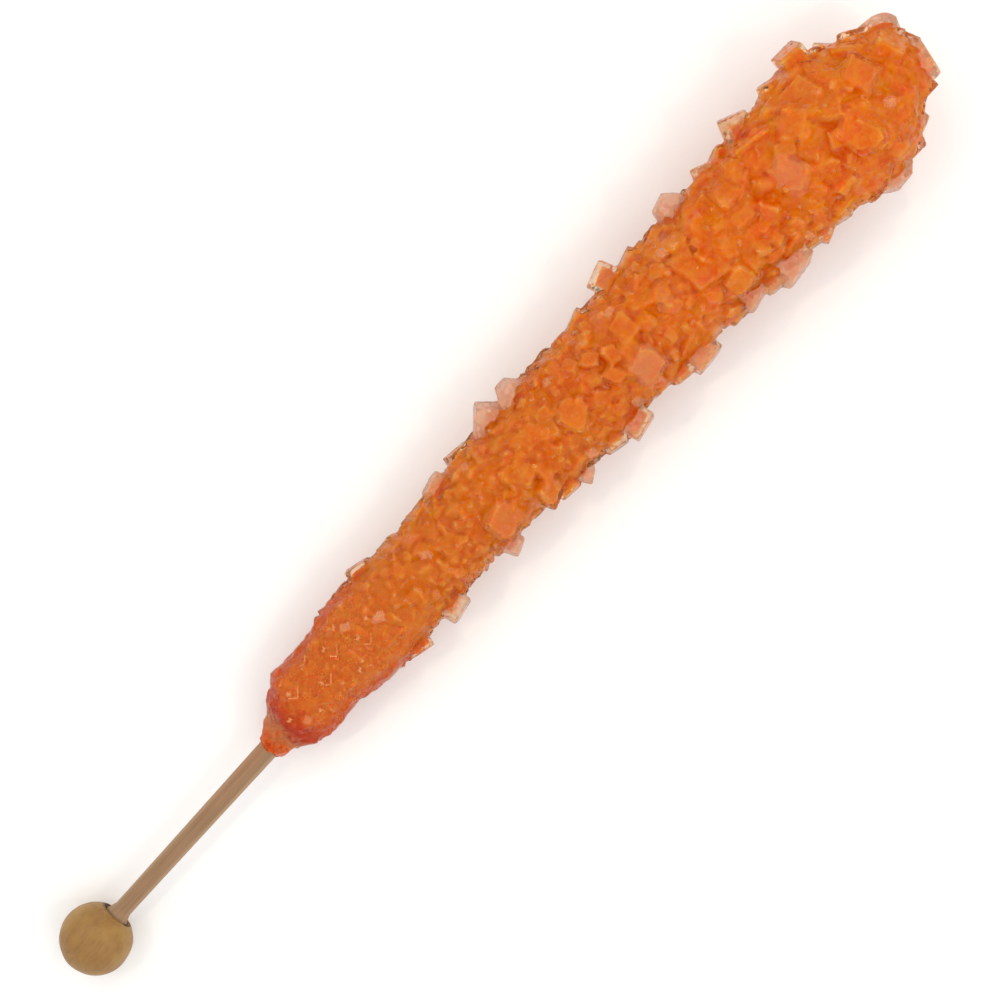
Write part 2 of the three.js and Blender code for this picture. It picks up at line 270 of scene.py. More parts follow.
def ballMaterial():
    material, tree, shader = newMaterial("turnedBallWood")
    place = stickSpace(tree)
    grain = cloud(tree, stretched(tree, place, (0.2, 1.0, 0.8)), 1.5, 4.0, 0.6, 0.5)
    patches = cloud(tree, place, 0.22)
    pores = cloud(tree, stretched(tree, place, (0.4, 1.0, 1.0)), 5.0, 2.0, 0.6)
    parts = partsOf(tree, place)
    distance = lineDistance(tree, parts, ballLook["mouthShadeDrift"])
    begins, full = (ballForm["mouthWidth"] / 2 + reach for reach in ballLook["mouthShadeReach"])
    mouthShade = times(
        tree, spread(tree, distance, begins, full),
        spread(tree, parts["X"], *ballLook["mouthShadeAlong"]),
    )
    base = blend(tree, spread(tree, grain, 0.32, 0.68), ballLook["dark"], ballLook["middle"])
    base = blend(tree, spread(tree, patches, 0.45, 0.7), base, ballLook["pale"])
    base = blend(tree, spread(tree, pores, 0.64, 0.76, 0.0, 0.5), base, ballLook["pore"])
    # Painted shade in the mouth around the dowel, where the gap lies in shadow.
    base = blend(tree, mouthShade, base, ballLook["stainAndShade"])
    tree.links.new(base, shader.inputs["Base Color"])
    tree.links.new(spread(tree, grain, 0.3, 0.7, 0.6, 0.48), shader.inputs["Roughness"])
    tree.links.new(bumps(tree, grain, 0.4, 0.05), shader.inputs["Normal"])
    setLook(shader, ballLook["finish"])
    return material


def makeBall():
    radius = ballForm["diameter"] / 2
    mouth = ballForm["mouthWidth"] / 2
    socket = ballForm["socketWidth"] / 2
    mouthAngle = math.asin(mouth / radius)
    mouthAlong = radius * math.cos(mouthAngle)
    arcSteps = ballForm["steps"] // 2
    corners = []
    for i in range(arcSteps + 1):
        angle = math.pi - i / arcSteps * (math.pi - mouthAngle)
        corners.append((radius * math.cos(angle), radius * math.sin(angle) if i else 0))
    mouthFloor = mouthAlong - ballForm["mouthDepth"]
    socketFloor = radius - ballForm["socketDepth"]
    corners += [
        (mouthFloor, socket + ballForm["socketRound"]),
        (mouthFloor - ballForm["socketChamfer"], socket),
        (socketFloor, socket),
        (socketFloor, 0),
    ]
    bm = spunRound(corners, ballForm["steps"])
    lip = [
        edge for edge in bm.edges if all(
            abs(vert.co.x - mouthAlong) < 1e-3 and abs(offAxis(vert.co) - mouth) < 1e-3
            for vert in edge.verts
        )
    ]
    bmesh.ops.bevel(
        bm, geom=lip, offset=ballForm["lipRound"], offset_type="OFFSET", segments=3,
        profile=0.5, affect="EDGES", material=-1,
    )
    for vert in bm.verts:
        if vert.co.length > radius * 0.9:
            lump = noise.noise(vert.co * ballForm["lumpScale"])
            vert.co += vert.co.normalized() * lump * ballForm["lumps"]
    bmesh.ops.transform(bm, matrix=toRow, verts=bm.verts[:])
    cut = bmesh.ops.bisect_plane(
        bm, geom=bm.verts[:] + bm.edges[:] + bm.faces[:], dist=1e-7,
        plane_co=(0, 0, 0), plane_no=(0, 0, 1), clear_inner=True,
    )
    rim = [part for part in cut["geom_cut"] if isinstance(part, bmesh.types.BMEdge)]
    bmesh.ops.contextual_create(bm, geom=rim)
    bmesh.ops.recalc_face_normals(bm, faces=bm.faces[:])
    mesh = meshFrom(bm, "woodenBall", True)
    return addPiece("woodenBall", mesh, "ball", ballMaterial())


makeBall()
print("ball turned")

dowelForm = {
    "ballEndWidth": 2.76,
    "candyEndWidth": 3.2,
    "swollenFrom": 8.0,
    "swollenBy": 38.0,
    "shoulderWidth": 3.9,
    "shoulderLength": 1.5,
    "foot": -1.75,
    "headEnd": 168.0,
    "edge": 0.25,
    "steps": 64,
    "rings": 90,
    "fluting": 0.035,  # how far the drawn grain stands out
    "flutes": 4,
    "tornReach": 1.2,  # how far from the ball the torn fibres reach
    "tornShare": 2.5,
}

dowelLook = {
    "middle": screen(151, 116, 84),
    "dark": screen(132, 100, 68),
    "pale": screen(162, 130, 98),
    "stainAndShade": screen(158, 100, 66),
    "fibre": screen(156, 122, 90),
    "soakedAlong": (22.0, 41.0),  # where the candy's syrup has stained the wood
    "soakedSide": (0.2, 2.4),
    "soakedShare": 0.6,
    "fibreAlong": (6.6, 5.0),
}


def dowelMaterial():
    material, tree, shader = newMaterial("bareDowelWood")
    place = stickSpace(tree)
    parts = partsOf(tree, place)
    grain = cloud(tree, stretched(tree, place, (0.035, 1.0, 1.0)), 3.2, 4.0, 0.65, 0.2)
    bands = cloud(tree, stretched(tree, place, (0.012, 1.0, 1.0)), 0.9, 2.0)
    pores = cloud(tree, stretched(tree, place, (0.16, 1.0, 1.0)), 7.0, 2.0, 0.5)
    soaked = times(
        tree, spread(tree, parts["X"], *dowelLook["soakedAlong"]),
        spread(tree, plus(tree, parts["Y"], times(tree, bands, 2.0)), *dowelLook["soakedSide"]),
    )
    base = blend(tree, spread(tree, grain, 0.3, 0.7), dowelLook["dark"], dowelLook["middle"])
    base = blend(tree, spread(tree, bands, 0.44, 0.62), base, dowelLook["pale"])
    base = blend(tree, spread(tree, pores, 0.66, 0.78, 0.0, 0.6), base, dowelLook["dark"])
    torn = spread(tree, parts["X"], *dowelLook["fibreAlong"], 0.0, 0.7)
    base = blend(tree, torn, base, dowelLook["fibre"])
    base = blend(tree, times(tree, soaked, dowelLook["soakedShare"]), base, dowelLook["stainAndShade"])
    tree.links.new(base, shader.inputs["Base Color"])
    tree.links.new(spread(tree, grain, 0.3, 0.7, 0.78, 0.62), shader.inputs["Roughness"])
    tree.links.new(bumps(tree, grain, 0.7, 0.06), shader.inputs["Normal"])
    return material


def makeDowel():
    thin = dowelForm["ballEndWidth"] / 2
    thick = dowelForm["candyEndWidth"] / 2
    shoulder = dowelForm["shoulderWidth"] / 2
    edge = dowelForm["edge"]
    shoulderFoot = ballForm["diameter"] / 2 - ballForm["mouthDepth"]
    shoulderEnd = shoulderFoot + dowelForm["shoulderLength"]
    corners = [
        (dowelForm["foot"], 0),
        (dowelForm["foot"], thin - edge),
        (dowelForm["foot"] + edge, thin),
        (shoulderFoot - 0.4, thin),
        (shoulderFoot - 0.12, shoulder - 0.06),
        (shoulderFoot, shoulder),
        (shoulderFoot + 0.35, shoulder - 0.18),
        (shoulderFoot + 0.9, thin + 0.2),
        (shoulderEnd, thin),
    ]
    start, end = dowelForm["swollenFrom"], dowelForm["headEnd"] - edge
    for i in range(dowelForm["rings"] + 1):
        along = start + (end - start) * i / dowelForm["rings"]
        share = min((along - start) / (dowelForm["swollenBy"] - start), 1)
        corners.append((along, thin + (thick - thin) * share))
    corners += [(dowelForm["headEnd"], thick - edge), (dowelForm["headEnd"], 0)]
    bm = spunRound(corners, dowelForm["steps"])
    for vert in bm.verts:
        away = Vector((0, vert.co.y, vert.co.z))
        if away.length > thin - 0.01 and vert.co.x > shoulderFoot - 0.2:
            outward = away.normalized()
            flute = Vector((
                vert.co.x * 0.02, outward.y * dowelForm["flutes"], outward.z * dowelForm["flutes"],
            ))
            torn = max(0, 1 - abs(vert.co.x - shoulderFoot) / dowelForm["tornReach"])
            standing = 1 + torn * dowelForm["tornShare"]
            vert.co += outward * noise.noise(flute) * dowelForm["fluting"] * standing
    bmesh.ops.transform(bm, matrix=toRow, verts=bm.verts[:])
    mesh = meshFrom(bm, "dowelStick", True)
    return addPiece("dowelStick", mesh, "dowel", dowelMaterial())


makeDowel()
print("dowel made")

# how far along, the radius out to the crystals' tips, and how far the middle drifts to the left
outline = [
    (39.4, 2.3, 0.0),
    (42.0, 3.2, 0.0),
    (44.6, 5.2, 0.3),
    (48.0, 6.5, 0.9),
    (54.0, 6.4, 0.9),
    (60.0, 7.5, 0.9),
    (66.0, 7.7, 0.8),
    (76.0, 7.1, 1.0),
    (90.0, 7.9, 1.3),
    (104.0, 8.6, 1.2),
    (120.0, 8.9, 1.0),
    (136.0, 9.7, 0.7),
    (150.0, 10.4, 0.5),
    (160.0, 11.7, 0.2),
    (168.0, 12.5, -0.4),
    (173.0, 10.1, -0.8),
    (178.0, 7.4, -0.2),
    (181.0, 4.8, 0.2),
    (182.2, 0.0, 0.4),
]

crust = {
    "seed": 20,
    "smallest": 2.9,  # a crystal's size at the handle end
    "largest": 5.6,  # and at the head
    "spread": 0.5,
    "spacing": 1.26,  # from one crystal to the next, as a share of its size
    "sunk": 0.14,  # how far the tips stay inside the outline, as a share of the size
    "leanMost": 38,
    "blockShare": 0.7,
    "elbowRoom": 0.36,
    "wedgeShare": 0.0,
    "bevel": 0.24,
    "segments": 2,
}

# Younger crystals that crowd between the others.
young = {
    "seed": 41,
    "smallest": 1.9,
    "largest": 5.8,
    "spread": 0.7,
    "spacing": 0.84,
    "sunk": 0.09,
    "leanMost": 30,
    "blockShare": 0.4,
    "elbowRoom": 0.0,
    "wedgeShare": 0.3,
    "bevel": 0.16,
    "segments": 1,
}

grains = {
    "seed": 77,
    "smallest": 1.15,
    "largest": 2.3,
    "spread": 0.9,
    "spacing": 1.06,
    "sunk": 0.28,
    "leanMost": 60,
    "blockShare": 0.5,
    "elbowRoom": 0.0,
    "thinFrom": 132.0,  # only every second one is left from here to the head
    "wedgeShare": 0.3,
    "bevel": 0.08,
    "segments": 1,
}

slant = math.tan(math.radians(103.5 - 90))  # sugar's monoclinic angle
goldenTurn = 137.508

# Crystals that stand out: how far along and around, the reach of the tip from the stick's line,
# the size across, deep and out, the lean to the head, the turn, the habit, and how clear it is.
standouts = [
    # left side, from the handle to the head
    (68.6, 84, 8.9, 4.0, 3.6, 5.0, 16, 8, "block", 0.35),
    (85.2, 76, 9.2, 4.2, 4.0, 4.8, -10, 20, "prism", 0.6),
    (91.4, 84, 9.5, 4.6, 3.8, 5.0, 10, 30, "block", 0.3),
    (96.4, 80, 10.3, 5.2, 5.0, 7.0, -42, 0, "prism", 0.9),
    (101.6, 76, 10.8, 4.6, 5.0, 6.5, -38, 10, "ridge", 0.95),
    (109.3, 86, 8.9, 2.6, 2.6, 4.2, 30, 20, "prism", 0.6),
    (117.0, 84, 9.6, 4.4, 4.0, 5.5, -20, 0, "prism", 0.2),
    (124.6, 88, 12.0, 4.8, 4.8, 7.0, -18, 12, "block", 0.4),
    (129.2, 82, 10.2, 3.8, 4.0, 6.0, -18, 0, "prism", 0.25),
    (139.7, 80, 12.4, 4.9, 4.6, 6.5, 8, 16, "ridge", 1.0),
    (147.2, 84, 10.9, 3.4, 4.4, 5.5, 24, 0, "prism", 0.6),
    (155.6, 82, 12.6, 4.8, 5.0, 6.5, 24, 6, "block", 0.5),
    (163.6, 80, 11.7, 5.6, 5.0, 6.5, 18, 0, "prism", 0.15),
    (167.8, 74, 13.4, 4.6, 5.4, 7.0, 6, 14, "block", 0.0),
    # the head's end
    (182.8, 86, 3.5, 5.8, 5.2, 10.6, 98, 0, "ridge", 0.8),
    (181.9, -58, 4.2, 5.2, 5.0, 7.4, 72, 10, "prism", 0.7),
    (179.6, 170, 4.8, 5.4, 5.4, 7.6, 66, 20, "block", 0.4),
    (179.4, 20, 6.6, 5.0, 4.6, 6.0, 52, 30, "prism", 0.1),
    # right side, from the head to the handle
    (172.8, -84, 10.4, 5.0, 4.8, 6.0, 18, 0, "prism", 0.6),
    (165.9, -88, 13.5, 6.6, 5.0, 9.0, 4, 6, "ridge", 0.8),
    (158.4, -76, 10.3, 5.0, 5.0, 6.0, 0, 20, "prism", 0.6),
    (153.2, -84, 10.5, 3.6, 3.6, 5.0, 22, 10, "block", 0.5),
    (149.8, -84, 9.9, 3.8, 3.6, 5.0, -10, 0, "prism", 0.4),
    (145.6, -80, 11.1, 5.4, 5.0, 7.0, 6, 0, "block", 0.9),
    (141.6, -82, 10.2, 3.8, 3.6, 5.0, -8, 24, "prism", 0.6),
    (138.2, -78, 9.4, 3.9, 3.8, 5.0, 12, 8, "block", 0.9),
    (134.8, -86, 9.0, 3.6, 3.4, 5.0, 8, 30, "block", 0.4),
    (126.9, -84, 10.0, 5.0, 4.8, 6.2, 4, 0, "prism", 0.6),
    (122.6, -86, 9.0, 3.6, 3.8, 5.0, -8, 16, "block", 0.4),
    (113.0, -84, 9.6, 4.8, 4.4, 5.6, 10, 12, "block", 0.6),
    (108.2, -82, 8.6, 3.8, 4.0, 5.0, -12, 0, "prism", 0.35),
    (102.4, -88, 8.6, 2.2, 2.6, 4.4, 30, 0, "block", 0.9),
    (98.4, -82, 7.9, 3.8, 3.4, 4.6, -6, 14, "prism", 0.3),
    (87.2, -84, 7.8, 2.8, 3.0, 4.0, 20, 0, "block", 0.9),
    (74.2, -84, 7.8, 4.6, 4.2, 5.2, 10, 6, "prism", 0.65),
    (65.6, -86, 7.4, 4.0, 4.0, 4.6, -14, 0, "prism", 0.3),
    (60.6, -82, 6.4, 3.2, 2.8, 4.0, 0, 0, "block", 0.6),
    # broad faces on top
    (172.0, 14, 10.9, 5.2, 5.4, 6.0, 22, 24, "block", 0.1),
    (165.6, -14, 12.1, 6.6, 6.4, 6.0, 9, 22, "prism", 0.2),
    (160.0, 26, 11.5, 5.8, 5.6, 6.0, -14, 40, "prism", 0.0),
    (154.0, 0, 10.6, 5.4, 5.8, 6.0, -10, 30, "prism", 0.42),
    (154.2, 46, 11.2, 6.6, 1.6, 6.0, 4, -14, "block", 0.3),
    (146.4, 34, 9.9, 5.0, 4.6, 5.6, 16, 10, "prism", 0.2),
    (137.8, -34, 9.5, 4.8, 4.4, 5.4, -16, 24, "prism", 0.3),
    (129.4, 8, 9.3, 5.4, 3.6, 5.0, 12, 48, "prism", 0.36),
    (119.6, -24, 8.7, 5.4, 5.2, 5.0, -12, 18, "prism", 0.4),
    (107.4, 0, 8.5, 5.0, 5.0, 5.0, 12, 34, "prism", 0.25),
    (96.8, -44, 8.1, 4.2, 4.4, 5.0, 14, 10, "block", 0.3),
    (88.8, -26, 7.8, 5.6, 5.4, 5.0, 8, 16, "prism", 0.36),
    # underneath, where it rests
    (161.0, 158, 12.6, 5.8, 5.6, 6.5, 0, 12, "prism", 0.2),
    (168.0, -156, 13.1, 5.6, 5.8, 6.5, 4, 0, "ridge", 0.2),
]

bits = {"proud": 0.15, "clear": 0.55, "bevel": 0.06, "segments": 1}

# Small clear crystals on the surface: how far along and to the left, and the size.
clearBits = [
    (102.5, -7.3, 1.7),
    (104.8, -6.2, 1.5),
    (87.1, -6.4, 1.9),
    (82.6, -5.4, 1.9),
    (108.1, 6.0, 1.3),
    (96.8, -6.1, 1.4),
    (115.0, -6.2, 1.6),
    (117.4, -7.2, 1.7),
    (137.0, -6.6, 1.4),
    (171.5, -3.7, 1.8),
    (133.4, 6.6, 1.5),
    (121.6, 6.4, 1.4),
    (90.6, 6.8, 1.2),
    (77.0, 2.0, 1.2),
    (150.2, -8.6, 1.6),
    (46.9, -1.5, 1.3),
    (61.0, 3.7, 1.5),
    (65.7, 0.9, 1.7),
]


def outlineAt(along):
    i = 1
    while i < len(outline) - 1 and outline[i][0] < along:
        i += 1
    fromAlong, fromRadius, fromDrift = outline[i - 1]
    toAlong, toRadius, toDrift = outline[i]
    share = min(max((along - fromAlong) / (toAlong - fromAlong), 0), 1)
    return (
        fromRadius + (toRadius - fromRadius) * share,
        fromDrift + (toDrift - fromDrift) * share,
        (toRadius - fromRadius) / (toAlong - fromAlong),
    )


def lengthwise(along):
    first, last = outline[0][0], outline[-1][0]
    return (along - first) / (last - first)


def sizeAt(rule, along):
    return rule["smallest"] + (rule["largest"] - rule["smallest"]) * lengthwise(along)


# Turns a crystal's length outwards at an angle around the stick, then leans and turns it.
def crystalTurn(around, lean, swing, turn):
    out, spun, leant, turned = (
        Matrix.Rotation(math.radians(angle), 3, axis)
        for angle, axis in ((-around, "X"), (swing, "Z"), (lean, "Y"), (turn, "Z"))
    )
    return (out @ spun) @ (leant @ turned)


def standoutCrystals():
    crystals = []
    for along, around, reach, across, deep, long, lean, turn, habit, clear in standouts:
        spin = crystalTurn(around, lean, 0, turn)
        outward = Vector((0, math.sin(math.radians(around)), math.cos(math.radians(around))))
        tip = outward * reach + Vector((along, 0, 0))
        place = tip - spin @ Vector((0, 0, long / 2))
        crystals.append({
            "place": place, "spin": spin, "size": (across, deep, long), "habit": habit,
            "clear": clear,
        })
    return crystals


def stretchTo(row):
    return math.hypot(outline[row][0] - outline[row - 1][0], outline[row][1] - outline[row - 1][1])


# Crystals a golden turn apart along the outline, each step as long as their size asks.
def scatteredCrystals(rule, taken):
    draw = seededDraw(rule["seed"])
    crystals = []
    row = 1
    walked = 0.0
    around = 0.0
    while row < len(outline):
        fromAlong, toAlong = outline[row - 1][0], outline[row][0]
        along = fromAlong + (toAlong - fromAlong) * walked / stretchTo(row)
        radius, drift, slope = outlineAt(along)
        middling = sizeAt(rule, along)
        size = middling * (1 + rule["spread"] * (draw() - 0.5))
        across = size * (0.75 + 0.4 * draw())
        deep = size * (0.7 + 0.4 * draw())
        long = size * (1 + 0.3 * draw())
        lean = rule["leanMost"] * draw()
        swing = 360 * draw()
        turn = 360 * draw()
        habit = "block" if draw() < rule["blockShare"] else "prism"
        if rule["wedgeShare"] and draw() < rule["wedgeShare"]:
            habit = "ridge"
        sunk = long / 2 + size * rule["sunk"] * (0.4 + 2 * draw())
        facing = crystalTurn(around, math.degrees(math.atan(-slope)), 0, 0)
        outward = facing @ Vector((0, 0, 1))
        angle = math.radians(around)
        spot = Vector((along, math.sin(angle) * radius + drift, math.cos(angle) * radius))
        place = spot - outward * sunk
        if all(
            (other["place"] - place).length > rule["elbowRoom"] * (other["size"][0] + size)
            for other in taken
        ):
            crystals.append({
                "place": place, "spin": facing @ crystalTurn(0, lean, swing, turn),
                "size": (across, deep, long), "habit": habit, "clear": 0.0,
            })
        around += goldenTurn
        walked += (rule["spacing"] * middling) ** 2 / (2 * math.pi * max(radius, middling / 2))
        while row < len(outline) and walked > stretchTo(row):
            walked -= stretchTo(row)
            row += 1
    return crystals


# Where a line straight up at a place beside the stick meets the outline, as an angle around it.
def aroundAt(along, sideways):
    radius, drift, _ = outlineAt(along)
    return math.degrees(math.asin(min(max((sideways - drift) / radius, -1), 1)))


def crystalOnTop(along, sideways, size, proud, draw, clear):
    radius, drift, _ = outlineAt(along)
    around = aroundAt(along, sideways)
    angle = math.radians(around)
    outward = Vector((0, math.sin(angle), math.cos(angle)))
    place = Vector((along, drift, 0)) + outward * (radius + proud - size / 2)
    return {
        "place": place, "spin": crystalTurn(around, 50 * draw(), 360 * draw(), 360 * draw()),
        "size": (size, size * (0.7 + 0.3 * draw()), size * (1 + 0.4 * draw())),
        "habit": "block" if draw() < 0.6 else "prism", "clear": clear,
    }


def surfaceBits():
    draw = seededDraw(5)
    return [
        crystalOnTop(along, side, size, bits["proud"], draw, bits["clear"])
        for along, side, size in clearBits
    ]


def crystalPoints(size, habit):
    x, y, z = (length / 2 for length in size)
    cut = 0.55
    block = [(x, y), (-x, y), (-x, -y), (x, -y)]
    prism = [(x, y * cut), (x * cut, y), (-x, y), (-x, -y * cut), (-x * cut, -y), (x, -y)]
    shoulder = z * 0.62 if habit == "ridge" else z
    points = []
    for end in (-1, 1):
        points += [(px, py, end * shoulder) for px, py in (block if habit == "block" else prism)]
        if habit == "ridge":
            points += [(x * 0.3, y * 0.9, end * z), (-x * 0.3, -y * 0.9, end * z)]
    return [Vector((px + py * slant, py, pz)) for px, py, pz in points]


# How often a corner is broken off, and how much of it, as a share of the crystal's least size.
chips = {"often": 0.4, "least": 0.08, "most": 0.3}


def crystalMesh(crystal, bevel, segments, tone):
    bm = bmesh.new()
    for point in crystalPoints(crystal["size"], crystal["habit"]):
        bm.verts.new(point)
    bmesh.ops.convex_hull(bm, input=bm.verts[:])
    bmesh.ops.dissolve_limit(bm, angle_limit=0.02, verts=bm.verts[:], edges=bm.edges[:])
    draw = seededDraw(int(abs(crystal["place"].x * 9137) + abs(crystal["place"].y * 613)))
    for again in range(2):
        broken = [vert for vert in bm.verts if draw() < chips["often"] / (1 + again)]
        share = chips["least"] + (chips["most"] - chips["least"]) * draw()
        bmesh.ops.bevel(
            bm, geom=broken, offset=share * min(crystal["size"]), offset_type="OFFSET", segments=1,
            profile=0.5, affect="VERTICES", material=-1, clamp_overlap=True,
        )
    if bevel:
        bmesh.ops.bevel(
            bm, geom=bm.edges[:], offset=bevel, offset_type="OFFSET", segments=segments,
            profile=0.5, affect="EDGES", material=-1, clamp_overlap=True,
        )
    setting = Matrix.Translation(crystal["place"]) @ crystal["spin"].to_4x4()
    bmesh.ops.transform(bm, matrix=setting, verts=bm.verts[:])
    bmesh.ops.recalc_face_normals(bm, faces=bm.faces[:])
    clearLayer = bm.faces.layers.float.new("clear")
    toneLayer = bm.faces.layers.float.new("tone")
    for face in bm.faces:
        face[clearLayer] = crystal["clear"]
        face[toneLayer] = tone
    return meshFrom(bm, "crystal", False)


syrup = {
    "rings": 220,
    "steps": 64,
    "startsBy": 1.0,  # how far short of the outline's end it stops by the handle
    "endsBy": 1.5,  # and at the head
    "thinnest": 0.55,  # its least radius, as a share of the outline's
    # how far along, how far under the tips it stands, and how lumpy it is
    "depth": [
        (39.4, 0.1, 0.2),
        (44.0, 0.4, 0.35),
        (62.0, 0.5, 0.35),
        (74.0, 1.3, 0.5),
        (110.0, 1.7, 0.6),
        (140.0, 1.7, 0.6),
        (160.0, 1.6, 0.6),
        (175.0, 1.4, 0.6),
        (182.2, 0.9, 0.3),
    ],
}


def rowAt(rows, along):
    for first, second in zip(rows, rows[1:]):
        if along <= second[0]:
            break
    share = min(max((along - first[0]) / (second[0] - first[0]), 0), 1)
    return [a + (b - a) * share for a, b in zip(first[1:], second[1:])]


# The fused sugar under the crystals' tips, nearly level with them by the handle.
def syrupMesh(under):
    first = outline[0][0] + syrup["startsBy"] + rowAt(under, outline[0][0])[0]
    last = outline[-1][0]
    corners = [(first, 0)]
    for i in range(syrup["rings"] + 1):
        along = first + (last - first) * i / syrup["rings"]
        radius = outlineAt(along)[0]
        depth = rowAt(under, along)[0]
        body = max(radius - rowAt(syrup["depth"], along)[0], radius * syrup["thinnest"])
        corners.append((along, body - depth))
    end = last - syrup["endsBy"] - depth
    corners = [corner for corner in corners if corner[1] >= 0 and corner[0] < end] + [(end, 0)]
    bm = spunRound(corners, syrup["steps"])
    for vert in bm.verts:
        away = Vector((0, vert.co.y, vert.co.z))
        if away.length > 0.5:
            lumps = noise.noise(vert.co * 0.5) * 0.8 + noise.noise(vert.co * 1.9) * 0.6
            vert.co += away.normalized() * lumps * rowAt(syrup["depth"], vert.co.x)[1]
        vert.co.y += outlineAt(vert.co.x)[1]
    toneLayer = bm.faces.layers.float.new("tone")
    bm.faces.layers.float.new("clear")
    for face in bm.faces:
        face[toneLayer] = 0.3
    return meshFrom(bm, "syrup", False)


def cutterObjects(pile, margin):
    bore = bmesh.new()
    width = dowelForm["candyEndWidth"] / 2 + 0.02 + margin
    start, end = outline[0][0] - 20, dowelForm["headEnd"] + 0.3
    bmesh.ops.create_cone(
        bore, cap_ends=True, segments=48, radius1=width, radius2=width, depth=end - start,
        matrix=Matrix.Translation(((start + end) / 2, 0, 0)) @ Matrix.Rotation(math.pi / 2, 4, "Y"),
    )
    ground = bmesh.new()
    level = Matrix.Translation((0, 0, margin * mm - 0.2))
    bmesh.ops.create_cube(ground, size=0.4, matrix=toRow.inverted() @ level)
    for bm in (bore, ground):
        pile.objects.link(bpy.data.objects.new("cutter", meshFrom(bm, "cutter", False)))


def newPile(name):
    pile = bpy.data.collections.new(name)
    bpy.context.scene.collection.children.link(pile)
    return pile


def emptyPile(pile):
    for part in list(pile.objects):
        mesh = part.data
        bpy.data.objects.remove(part)
        bpy.data.meshes.remove(mesh)
    bpy.data.collections.remove(pile)


# Puts a mesh through modifiers and gives back the result.
def worked(mesh, *steps):
    lump = bpy.data.objects.new("lump", mesh)
    bpy.context.scene.collection.objects.link(lump)
    for kind, settings in steps:
        step = lump.modifiers.new(kind, kind)
        for name, value in settings.items():
            setattr(step, name, value)
    graph = bpy.context.evaluated_depsgraph_get()
    shaped = bpy.data.meshes.new_from_object(lump.evaluated_get(graph))
    bpy.data.objects.remove(lump)
    bpy.data.meshes.remove(mesh)
    return shaped


def joining(operation, pile):
    return "BOOLEAN", {
        "operation": operation, "operand_type": "COLLECTION", "collection": pile,
        "solver": "MANIFOLD",
    }


# Only the shell that holds the most faces: a sealed hollow is filled, and a loose scrap dropped.
def outerShell(mesh):
    bm = bmesh.new()
    bm.from_mesh(mesh)
    bm.faces.ensure_lookup_table()
    seen = [False] * len(bm.faces)
    shells = []
    for face in bm.faces:
        if seen[face.index]:
            continue
        seen[face.index] = True
        shell = [face]
        for near in shell:
            for edge in near.edges:
                for other in edge.link_faces:
                    if not seen[other.index]:
                        seen[other.index] = True
                        shell.append(other)
        shells.append(shell)
    shells.sort(key=len)
    spare = [face for shell in shells[:-1] for face in shell]
    bmesh.ops.delete(bm, geom=spare, context="FACES")
    bm.to_mesh(mesh)
    bm.free()
    print("shells:", len(shells), "faces kept:", len(mesh.polygons))
    return mesh


# All the crystals grown into the syrup, as sharp as they grew.
def grownMesh(crystals, under):
    draw = seededDraw(31)
    pile = newPile("grown")
    for crystal in crystals:
        mesh = crystalMesh(crystal, crystal["bevel"], crystal["segments"], draw())
        pile.objects.link(bpy.data.objects.new("crystal", mesh))
    mesh = outerShell(worked(syrupMesh(under), joining("UNION", pile)))
    emptyPile(pile)
    return mesh


# The same body with its edges rounded and its hollows filled a little, as syrup leaves them.
def meltedMesh(sharp, melt):
    soft = worked(
        sharp.copy(),
        ("REMESH", {"mode": "VOXEL", "voxel_size": melt["voxel"]}),
        ("SMOOTH", {"factor": 0.5, "iterations": melt["smoothing"]}),
    )
    fine = sum(len(face.vertices) - 2 for face in soft.polygons)
    print("melted:", fine, "triangles")
    soft = worked(soft, ("DECIMATE", {"ratio": min(melt["triangles"] / fine, 1)}))
    return outerShell(soft)


# Bored for the dowel and cut flat where it rests, or a margin short of both.
def trimmedMesh(mesh, margin=0.0):
    pile = newPile("cutters")
    cutterObjects(pile, margin)
    mesh = outerShell(worked(mesh, joining("DIFFERENCE", pile)))
    emptyPile(pile)
    return mesh


# Gives each corner of the soft mesh the marks of the sharp face that it came from.
def carryMarks(sharp, soft):
    tree = BVHTree.FromPolygons(
        [vert.co for vert in sharp.vertices], [tuple(face.vertices) for face in sharp.polygons],
    )
    nearest = [tree.find_nearest(vert.co)[2] for vert in soft.vertices]
    for name in ("clear", "tone"):
        source = sharp.attributes[name].data
        values = [source[index].value for index in nearest]
        if name in soft.attributes:
            soft.attributes.remove(soft.attributes[name])
        soft.attributes.new(name, "FLOAT", "POINT").data.foreach_set("value", values)


# How far a corner must turn before it counts as a full edge or crease.
fullTurn = 0.34


# Marks where the surface turns outwards, at an edge, and inwards, at a crease.
def markTurns(mesh):
    bm = bmesh.new()
    bm.from_mesh(mesh)
    bm.verts.ensure_lookup_table()
    turns = []
    for vert in bm.verts:
        dips = [
            (edge.other_vert(vert).co - vert.co).normalized().dot(vert.normal)
            for edge in vert.link_edges
        ]
        turns.append(-sum(dips) / len(dips))
    softened = []
    for vert in bm.verts:
        near = [turns[edge.other_vert(vert).index] for edge in vert.link_edges]
        softened.append((turns[vert.index] + sum(near) / len(near)) / 2 / fullTurn)
    bm.free()
    for name, sign in (("edge", 1), ("crease", -1)):
        values = [min(max(sign * turn, 0), 1) for turn in softened]
        mesh.attributes.new(name, "FLOAT", "POINT").data.foreach_set("value", values)


crustMelt = {"voxel": 0.23, "smoothing": 3, "triangles": 190000}
heartMelt = {"voxel": 0.26, "smoothing": 2, "triangles": 115000}

